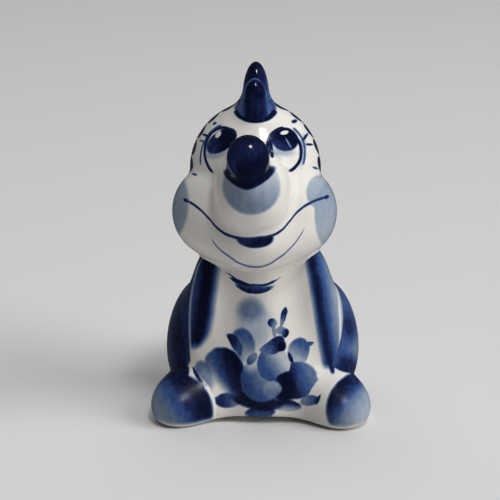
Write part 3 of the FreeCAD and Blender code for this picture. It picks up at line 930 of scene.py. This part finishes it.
def paint_head(picture, mm):
    """The head: cheeks, snout, eyes and mouth in front, the crest's foot, and the back's painting."""
    y = mm.part("Y")
    d = even(mm)
    for wash in CHEEKS.values():
        d = wash(d, picture, y.fall(*CHEEK_BACK))
    for motif in (SNOUT, RIGHT_EYE, LEFT_EYE):
        d = paint(d, picture, motif)
    below, _ = course(picture, LIPS)
    d = TONGUE(d, picture, below.ramp(-LIP_EDGE, LIP_EDGE))
    d = paint(d, picture, MOUTH) * y.fall(*FACE_BACK)
    d = back_stripe(paint(d, picture, CREST_FOOT), mm, **HEAD_STRIPE)
    # Strokes along the cranium's rim: ovals in the angle round the line of sight and in how far the wall
    # faces the eye, which is nought at the rim
    middle, half, _, _ = CRANIUM
    own = mm.vector("SUBTRACT", middle)
    facing = own.dot(tuple(b / h for b, h in zip(BACK, half)))
    turned = own.dot(RIGHT).math("ARCTAN2", own.dot(UP))
    across = ((turned * RIM_STROKES_PER_RADIAN).math("FRACT") - 0.5) / RIM_HALF_LENGTH
    up = (facing + across * RIM_SLANT - RIM_FACING) / RIM_HALF_WIDTH
    rim = (across * across + up * up).fall(*RIM_EDGE)
    d = d.over(rim * turned.math("ABSOLUTE").fall(*RIM_REACH), RIM_DENSITY)
    turned = (mm.part("X") - HEAD_X).math("ARCTAN2", y - HEAD_SCALES_Y)
    area = facing.fall(*HEAD_SCALES_FACING)
    return scales(d, mm, turned, area * aside(mm, HEAD_X).ramp(*HEAD_SCALES_EDGE), **HEAD_SCALES)


def right_arm_strokes(d, picture):
    """The right arm: dark in the middle, bare towards the belly, with a rounded lower end."""
    x = picture.part("X") - RIGHT_ARM_END_X
    low = picture.part("Y") + x * x * RIGHT_ARM_END_CURVE
    return paint(d, picture, RIGHT_ARM) * low.fall(*RIGHT_ARM_END)


def left_arm_strokes(picture):
    """The left arm: a dark stroke, with mid blue outside it and bare glaze inside it."""
    x = beside(picture, LEFT_ARM_TOP, LEFT_ARM_LEAN)
    return LEFT_ARM_DARK(x.ramp(*LEFT_ARM_INNER) * x.ramp(*LEFT_ARM_OUTER, *LEFT_ARM_TONES), picture)


def paint_body(picture, mm):
    """The body: washes that run over from the arms, collar and flower in front, and the back's painting."""
    x = picture.part("X")
    right = right_arm_strokes(even(mm), picture) * x.fall(*RIGHT_WASH_END)
    left = left_arm_strokes(picture) * x.ramp(*LEFT_WASH_END)
    d = right + left * picture.part("Y").fall(*LEFT_WASH_FOOT)
    d = LEFT_ARM_TIP(d, picture)
    for motif in (COLLAR, CLOUD, SPRIG, LEAVES, LOWER_LEAF, SIDE_LEAF, ROSE):
        d = paint(d, picture, motif)
    d = d * mm.part("Y").fall(*BELLY_BACK) * mm.part("Z").ramp(*BELLY_FOOT)
    d = back_stripe(d, mm, **BODY_STRIPE)
    turned = mm.part("X").math("ARCTAN2", mm.part("Y"))
    return scales(d, mm, turned, aside(mm, 0.0).ramp(*BODY_SCALES_EDGE), **BODY_SCALES)


def paint_right_arm(picture, mm):
    """The right arm, with a painted highlight, a nearly bare line, between its outer edge and the thigh's
    blue.
    """
    x = beside(picture, RIGHT_ARM_TOP, RIGHT_ARM_LEAN)
    d = right_arm_strokes(x.fall(*RIGHT_ARM_INNER) * RIGHT_ARM_TONE, picture)
    outside, _ = course(picture, RIGHT_ARM_EDGE, True)
    return RIGHT_ARM_HIGHLIGHT(d.over(outside.fall(*RIGHT_ARM_OUTER), THIGH_TONE), picture)


def paint_left_arm(picture, mm):
    """The left arm, with a painted highlight, a bare line, along its outer edge."""
    return LEFT_ARM_HIGHLIGHT(left_arm_strokes(picture), picture)


def paint_right_haunch(picture, mm):
    """The right thigh: mid blue at its rim, with a paler painted reflection along its outer edge, nearly
    black inside, bare towards the belly.
    """
    d = paint(even(mm, RIGHT_THIGH_TONE), picture, RIGHT_THIGH)
    narrowing = picture.part("Y").ramp(*RIGHT_THIGH_WAIST) * RIGHT_THIGH_NARROWING
    return d * (picture.part("X") + narrowing).fall(*RIGHT_THIGH_INNER)


def paint_left_haunch(picture, mm):
    """The left thigh: mid blue, paler outside, with a dark spot and a dark lower end."""
    return paint(picture.part("X").ramp(*LEFT_THIGH_SPAN, *LEFT_THIGH_TONES), picture, LEFT_THIGH)


def foot(picture, mm, middle, side):
    """A foot's blue, palest outside and dark over the ankle and on the inner side, and where it lies: not
    on the rim at the table. side is 1 for the right foot and -1 for the left one."""
    x, y = middle
    toes = petal(at=middle, half=(37, 32), angle=side * 45, dark=1, edge=0.06)
    ankle = petal(at=(x + side, y - 37), half=(10, 13), dark=1)
    shade = petal(at=(x + side * 5, y - 31), half=(22, 11), angle=side * 42, dark=DEEP, edge=0.7, amount=0.9)
    area = ankle(toes(even(mm), picture), picture) * mm.part("Z").ramp(*FOOT_RIM)
    inward = (picture.part("X") - x) * side - (picture.part("Y") - y) * FOOT_SLANT
    return shade(inward.ramp(*FOOT_SPAN, *FOOT_TONES), picture), area


def paint_right_foot(picture, mm):
    """The right foot, and the edge of the leaf that reaches it."""
    d, area = foot(picture, mm, RIGHT_FOOT_MIDDLE, 1)
    return paint(even(mm), picture, SIDE_LEAF).over(area, paint(d, picture, RIGHT_FOOT))


def paint_left_foot(picture, mm):
    """The left foot, paler on its outer half, with the arm's tip and the leaf that reach it."""
    d, area = foot(picture, mm, LEFT_FOOT_MIDDLE, -1)
    pale = beside(picture, LEFT_FOOT_MIDDLE, -LEFT_FOOT_SLANT).ramp(*LEFT_FOOT_SPAN, 1, LEFT_FOOT_PALEST)
    d = LEFT_ANKLE_LINE(LEFT_FOOT_DARK(d, picture) * pale, picture)
    d = LEFT_ARM_TIP(even(mm), picture).over(LEFT_ANKLE(area, picture), d)
    return paint(d, picture, LOWER_LEAF)


def paint_nose(picture, mm):
    """The nose: nearly black, with a paler painted sheen above and on its right."""
    return paint(even(mm, NOSE_TONE), picture, NOSE)


def paint_front_spine(picture, mm):
    """The two front spines of the crest: dark in the middle and paler towards their sides, where the paint
    is thinner and a painted sheen of the glaze lightens them.
    """
    d = (picture.part("X") - CREST_MIDDLE).math("ABSOLUTE").ramp(*CREST_SPAN, DEEP, CREST_SIDE_TONE)
    d = d * mm.noise(SPINE_SCALE).ramp(NOISE_LOW, NOISE_HIGH, CREST_THINNEST, 1)
    return d.over(mm.part("Y").ramp(*SPINE_BACK), DARK)


def paint_forehead_spine(picture, mm):
    """The foremost spine, with a paler line along its upper rim: a painted sheen that parts it from the
    spine behind.
    """
    return FOREHEAD_SPINE_SHEEN(paint_front_spine(picture, mm), picture)


def paint_spine(picture, mm):
    """A spine of the back: dark, a little uneven."""
    return mm.noise(SPINE_SCALE).ramp(NOISE_LOW, NOISE_HIGH, SPINE_THINNEST, DEEP)


def paint_tail(picture, mm):
    """The tail: darker towards its tip."""
    return mm.part("Y").ramp(*TAIL_ENDS, *TAIL_TONES)


PAINTERS = {
    "body_shell": paint_body, "head_shell": paint_head, "tail": paint_tail, "nose": paint_nose,
    "left_arm": paint_left_arm, "right_arm": paint_right_arm, "left_haunch": paint_left_haunch,
    "right_haunch": paint_right_haunch, "left_foot": paint_left_foot, "right_foot": paint_right_foot,
    "forehead_spine": paint_forehead_spine, "crown_spine": paint_front_spine,
}
spine_glaze = glaze("spine_glaze", paint_spine)
for name, piece in pieces.items():
    wobbling = BELLY_WOBBLE if name == "body_shell" else FINE_WOBBLE
    made = glaze(name + "_glaze", PAINTERS[name], wobbling) if name in PAINTERS else spine_glaze
    piece.data.materials.append(made)

# Floor
FLOOR_HALF = 8000.0
FLOOR_COLOUR = (0.74, 0.735, 0.73, 1)
FLOOR_ROUGHNESS = 0.6
corner = FLOOR_HALF * MM
floor_mesh = bpy.data.meshes.new("floor")
floor_mesh.from_pydata(
    [(-corner, -corner, 0), (corner, -corner, 0), (corner, corner, 0), (-corner, corner, 0)],
    [], [(0, 1, 2, 3)])
floor = bpy.data.objects.new("floor", floor_mesh)
bpy.context.scene.collection.objects.link(floor)
paper = bpy.data.materials.new("pale_floor")
paper.use_nodes = True
paper.node_tree.nodes["Principled BSDF"].inputs["Base Color"].default_value = FLOOR_COLOUR
paper.node_tree.nodes["Principled BSDF"].inputs["Roughness"].default_value = FLOOR_ROUGHNESS
floor_mesh.materials.append(paper)
floor.visible_glossy = False

# Lamps: places, aims and sizes in millimetres, powers in watts
LAMPS = {
    "window": {"place": (2900, -950, 1650), "aim": (0, 0, 45), "size": 2400, "power": 93.0,
               "colour": (1.0, 0.99, 0.97)},
    "ceiling": {"place": (-200, 1000, 1900), "aim": (0, 0, 0), "size": 2600, "power": 23.0,
                "colour": (0.98, 0.99, 1.0)},
    "spot": {"place": (300, -480, 1200), "aim": (0, 0, 60), "size": 250, "power": 5.0, "mirrored": True},
}
STUDIO_COLOUR = (0.80, 0.82, 0.85, 1)
STUDIO_STRENGTH = 0.055


def lamp(name, place, aim, size, power, colour=(1.0, 1.0, 1.0), mirrored=False):
    """A square soft light at a place in mm, aimed at another. The glaze mirrors it only if asked."""
    data = bpy.data.lights.new(name, "AREA")
    data.size = size * MM
    data.energy = power
    data.color = colour
    light = bpy.data.objects.new(name, data)
    light.location = Vector(place) * MM
    light.visible_glossy = mirrored
    light.rotation_mode = "QUATERNION"
    light.rotation_quaternion = (Vector(aim) - Vector(place)).to_track_quat("-Z", "Y")
    bpy.context.scene.collection.objects.link(light)


for name, settings in LAMPS.items():
    lamp(name, **settings)
world = bpy.data.worlds.new("studio")
bpy.context.scene.world = world
world.use_nodes = True
world.node_tree.nodes["Background"].inputs["Color"].default_value = STUDIO_COLOUR
world.node_tree.nodes["Background"].inputs["Strength"].default_value = STUDIO_STRENGTH
bpy.context.scene.view_settings.view_transform = "Standard"

camera_data = bpy.data.cameras.new("camera")
camera_data.sensor_width = SENSOR_WIDTH
camera_data.lens = FOCAL_PIXELS / PICTURE_SIZE * SENSOR_WIDTH
camera_data.clip_start = 10 * MM
camera = bpy.data.objects.new("camera", camera_data)
camera.location = EYE
camera.rotation_mode = "QUATERNION"
camera.rotation_quaternion = (-BACK).to_track_quat("-Z", "Y")
bpy.context.scene.collection.objects.link(camera)
bpy.context.scene.camera = camera
